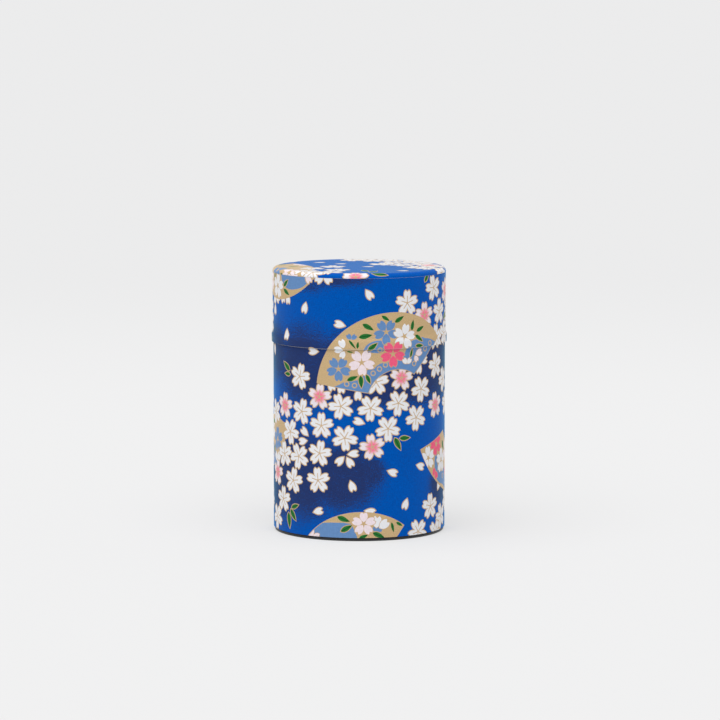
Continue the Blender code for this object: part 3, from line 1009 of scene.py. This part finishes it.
def make_body_metal(tin, black):
    """Base with its rolled rim, the wall tube and the neck collar with its curled mouth."""
    rim_r, _, base_top = box_mm("base_plate")
    wall_r, wall_low, wall_high = box_mm("body_wall")
    neck_r, neck_low, neck_top = box_mm("neck_collar")
    chuck = wall_r - SHEET - GAP
    rim_top, rim_width, corner, bend, lip = 1.2, 1.0, 0.35, 0.8, 0.25
    panel_r, step_r, step = 26.4, 27.1, 0.6
    ledge = base_top - SHEET - step
    inner = rim_r - rim_width
    outline = [(0.0, ledge + step), (panel_r, ledge + step), (step_r, ledge)]
    outline += arc(inner - bend, ledge - bend, bend, 90, 0)
    outline += arc(inner + corner, corner, corner, 180, 270)
    outline += arc(rim_r - corner, corner, corner, 270, 360)
    outline += arc(rim_r - lip, rim_top - lip, lip, 0, 90, 4)
    outline += arc(chuck - bend, ledge + SHEET - bend, bend, 0, 90)
    outline += [(step_r, ledge + SHEET), (panel_r, base_top), (0.0, base_top)]
    turned("base_end", outline, "body", "base_plate", black)

    middle = wall_r - SHEET / 2
    tube = folded([(middle, wall_low), (middle, wall_high)])
    turned("wall_tube", tube, "body", "body_wall", tin)

    lower = chuck - SHEET / 2
    upper = neck_r - SHEET / 2
    path = [(lower, neck_low), (lower, wall_high + 0.3), (lower + 0.05, wall_high + 0.5)]
    path += [(upper - 0.05, wall_high + 1.1), (upper, wall_high + 1.3), (upper, neck_top - CURL)]
    path += arc(neck_r - CURL, neck_top - CURL, CURL - SHEET / 2, 0, 270, 16)[1:]
    turned("neck_sleeve", folded(path), "body", "neck_collar", tin, seam=0.1)


def make_lid_metal(tin):
    """The lid's hemmed wall and its pressed top."""
    _, low, high = box_mm("lid_wall")
    outer = LID_R - PAPER - GLUE
    inner = outer - SHEET
    levels = [low, low + 0.2, low + 0.4, low + 0.7] + list(np.linspace(low + 3, low + 5.3, 8))
    outline = [(float(lid_radius(v + LID_LOW - low)) - PAPER - GLUE, v) for v in levels]
    outline += [(outer, high), (inner, high), (inner, low + 0.3), (inner + 0.15, low)]
    turned("lid_tube", outline, "lid", "lid_wall", tin)

    _, skirt_low, plate_top = box_mm("lid_top_plate")
    corner = SHOULDER - PAPER - GLUE - SHEET / 2
    skirt = inner - GAP - SHEET / 2
    shoulder_z = TOP_LOW - PAPER_JOINT / 2
    path = [(0.0, plate_top - SHEET / 2)]
    path += arc(LID_R - SHOULDER, shoulder_z, corner, 90, 0, 10)
    path += [(skirt, shoulder_z - 0.55), (skirt, skirt_low)]
    turned("lid_crown", folded(path), "lid", "lid_top_plate", tin)


def make_inner_lid(tin, polished):
    """The plug lid: pan, knob, washer and rivet."""
    edge_r, floor_low, lip_top = box_mm("inner_lid_pan")
    neck_r, _, neck_top = box_mm("neck_collar")
    floor = floor_low + SHEET / 2
    flange = neck_top + GAP + SHEET / 2
    side = neck_r - 2 * CURL - GAP - SHEET / 2
    edge = edge_r - SHEET / 2
    corner, neck_bend, lip_bend = 1.5, 0.5, 0.2
    ring_r, rise = 25.0, ((3.4, 0.0), (2.9, 0.12), (2.4, 0.5), (1.9, 0.6))
    path = [(RIVET_HOLE, floor)]
    path += [(ring_r - x, floor + y) for x, y in rise]
    path += [(ring_r + x, floor + y) for x, y in rise[::-1]]
    path += arc(side - corner, floor + corner, corner, 270, 360, 8)
    path += arc(side + neck_bend, flange - neck_bend, neck_bend, 180, 90)
    path += arc(edge - lip_bend, flange + lip_bend, lip_bend, 270, 360, 4) + [(edge, lip_top)]
    turned("plug_pan", folded(path), "inner_lid", "inner_lid_pan", tin)

    rim_r, cup_low, cup_top = box_mm("knob_base")
    cup_floor, cup_rim = cup_low + SHEET / 2, cup_top - SHEET / 2
    foot_r, waist_r, bend = 4.0, 5.2, 0.6
    path = [(RIVET_HOLE, cup_floor)] + arc(foot_r, cup_floor + bend, bend, 270, 360)
    path += arc(waist_r, cup_rim - bend, bend, 180, 90) + [(rim_r, cup_rim)]
    turned("knob_cup", folded(path), "inner_lid", "knob_base", polished, KNOB_FACETS)

    cap_r, cap_low, cap_top = box_mm("knob_cap")
    edge, lip = cap_r - SHEET / 2, cap_low + SHEET / 2
    rise, bend, lip_r = 2.7, 0.5, 6.2
    dome = cap_top - SHEET / 2
    ball = (edge**2 + rise**2) / (2 * rise)
    half_angle = math.degrees(math.asin((edge - bend) / ball))
    path = arc(0.0, dome - ball, ball, 90, 90 - half_angle, 16)
    r, z = path[-1]
    path += bezier((r, z), (r + 0.35, z - 0.14), (edge, z - 0.4), (edge, z - 0.8), 5)
    path += arc(edge - bend, lip + bend, bend, 0, -90) + [(lip_r, lip)]
    turned("knob_dome", folded(path), "inner_lid", "knob_cap", polished, KNOB_FACETS)

    washer_r, low, high = box_mm("rivet_washer")
    worn = 0.1
    outline = [(RIVET_HOLE, low), (washer_r - worn, low), (washer_r, low + worn)]
    outline += [(washer_r, high - worn), (washer_r - worn, high), (RIVET_HOLE, high)]
    turned("washer", outline, "inner_lid", "rivet_washer", tin, KNOB_FACETS)

    head_r, low, high = box_mm("knob_rivet")
    tail_r, tail_height, head_height, shank_r = 2.6, 0.9, 1.2, 1.5
    tail, head = low + tail_height, high - head_height
    outline = [(0.0, low)]
    outline += [(tail_r * math.sin(a), tail - tail_height * math.cos(a)) for a in np.linspace(0.2, 1.5, 7)]
    outline += [(shank_r, tail), (shank_r, head), (head_r, head)]
    outline += [(head_r * math.cos(a), head + head_height * math.sin(a)) for a in np.linspace(0.1, 1.45, 8)]
    outline += [(0.0, high)]
    turned("rivet", outline, "inner_lid", "knob_rivet", polished, 64)


# ---- Stage ----


def make_stage():
    """A pale floor that runs far back, glowing as painted light and a little darker at the back as painted
    shade, soft lights and the camera.
    """
    scene = bpy.context.scene
    mesh = bpy.data.meshes.new("floor")
    far = 30.0
    corners = [(-far, -far, 0), (far, -far, 0), (far, far, 0), (-far, far, 0)]
    mesh.from_pydata(corners, [], [(0, 1, 2, 3)])
    floor = added("floor", mesh)
    nodes = Nodes("floor_paper_glowing")
    place = nodes.object_place()
    # Painted shade: the floor's colour grows a little darker towards the back, as if less light reached it
    # there.
    back = nodes.remap(nodes.y_of(place), 0.3, 1.3, smooth=True)
    front_grey, back_grey = (0.28, 0.28, 0.281, 1.0), (0.267, 0.267, 0.268, 1.0)
    pale = nodes.mix(back, front_grey, back_grey)
    nodes.feed("Base Color", pale)
    nodes.feed("Roughness", 0.9)
    nodes.feed("Specular IOR Level", 0.0)
    # Painted light: the floor glows with its own pale colour, which softens the shadows round the tin and
    # lights the tin from below.
    nodes.feed("Emission Color", pale)
    nodes.feed("Emission Strength", 1.79)
    mesh.materials.append(nodes.material)

    world = bpy.data.worlds.new("studio")
    scene.world = world
    world.use_nodes = True
    background = world.node_tree.nodes["Background"]
    background.inputs["Color"].default_value = (1.0, 1.0, 1.0, 1.0)
    background.inputs["Strength"].default_value = 0.52

    light = bpy.data.lights.new("softbox", "SUN")
    light.energy = 2.75
    light.angle = math.radians(80)
    lamp = added("softbox", light)
    shines_towards = Vector((0.16, 0.42, -1.25))
    lamp.rotation_euler = shines_towards.to_track_quat("-Z", "Y").to_euler()

    lens = bpy.data.cameras.new("camera")
    lens.sensor_width = 36.0
    lens.lens = 181.25
    camera = added("camera", lens)
    camera.location = (0.00037, -1.597, 0.258)
    camera.rotation_euler = (math.radians(90 - 6.53), 0.0, 0.0)
    scene.camera = camera
    scene.view_settings.view_transform = "Standard"


def main():
    make_body_paper()
    make_lid_side_paper()
    make_lid_top_paper()
    tin = tinplate("tin_bright", 0.26)
    make_body_metal(tin, black_lacquer())
    make_lid_metal(tin)
    make_inner_lid(tin, tinplate("tin_polished", 0.14, 0.86, 0.5))
    make_stage()


main()
